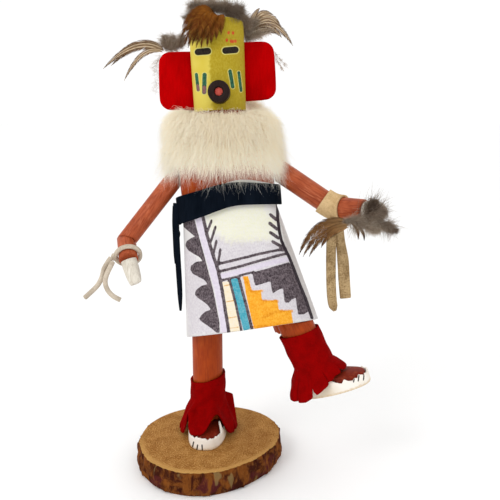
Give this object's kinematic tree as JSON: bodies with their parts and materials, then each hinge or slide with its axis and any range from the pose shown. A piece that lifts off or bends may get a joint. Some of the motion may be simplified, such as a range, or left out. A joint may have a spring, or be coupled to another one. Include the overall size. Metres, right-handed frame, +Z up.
{
  "type": "kachina doll",
  "caption": "Carved and painted wooden dancer doll with a tube-snouted yellow mask, fur collar, feathers, leather kilt and red boots, standing on a slice of log.",
  "frame": {"origin": "centre of the log's underside", "axes": "+Z up, the doll faces -Y, its raised knee and raised hand are on the +X side"},
  "size_m": [0.215, 0.1089, 0.3301],
  "materials": {
    "log_wood": "raw sawn end grain with dark bark",
    "leg_paint": "rust-brown stain, satin",
    "arm_paint": "terracotta stain, satin",
    "foot_wood": "red-brown stain, satin",
    "hand_white": "white paint, matte",
    "head_wood": "rust-brown stain, matte",
    "band_leather": "cream-white leather, matte",
    "red_suede": "deep red suede",
    "kilt_leather": "white leather, painted",
    "sash_cloth": "near-black navy cloth",
    "lace_suede": "grey-beige suede lace",
    "tan_suede": "tan suede",
    "mask_leather": "bright yellow paint on leather",
    "snout_black": "black paint, satin",
    "snout_pink": "pink-red paint",
    "red_felt": "saturated red felt",
    "white_fur": "cream-white rabbit fur",
    "grey_down": "grey-brown down with brown hackles"
  },
  "bodies": {
    "root": {"log_base": "log_wood", "torso": "leg_paint", "leg_standing": "leg_paint", "thigh_raised": "leg_paint", "shin_raised": "leg_paint", "foot_standing": "foot_wood", "foot_raised": "foot_wood", "arm_upper_right": "arm_paint", "arm_fore_right": "arm_paint", "hand_right": "hand_white", "arm_upper_left": "arm_paint", "arm_fore_left": "arm_paint", "hand_left": "hand_white", "head_block": "head_wood", "moccasin_band_standing": "band_leather", "moccasin_band_raised": "band_leather", "boot_wrap_standing": "red_suede", "boot_wrap_raised": "red_suede", "kilt": "kilt_leather", "sash_band": "sash_cloth", "sash_knot": "sash_cloth", "sash_tail_long": "sash_cloth", "sash_tail_short": "sash_cloth", "arm_cuff": "tan_suede", "cuff_strip_long": "tan_suede", "cuff_strip_short": "tan_suede", "wrist_lace": "lace_suede", "lace_tail_long": "lace_suede", "lace_tail_short": "lace_suede", "mask_face": "mask_leather", "snout": "snout_black", "snout_core": "snout_pink", "ear_right": "red_felt", "ear_left": "red_felt", "fur_collar": "white_fur", "crest_feathers": "grey_down", "side_feathers_right": "grey_down", "side_feathers_left": "grey_down", "hand_feathers": "grey_down"}
  },
  "joints": []
}
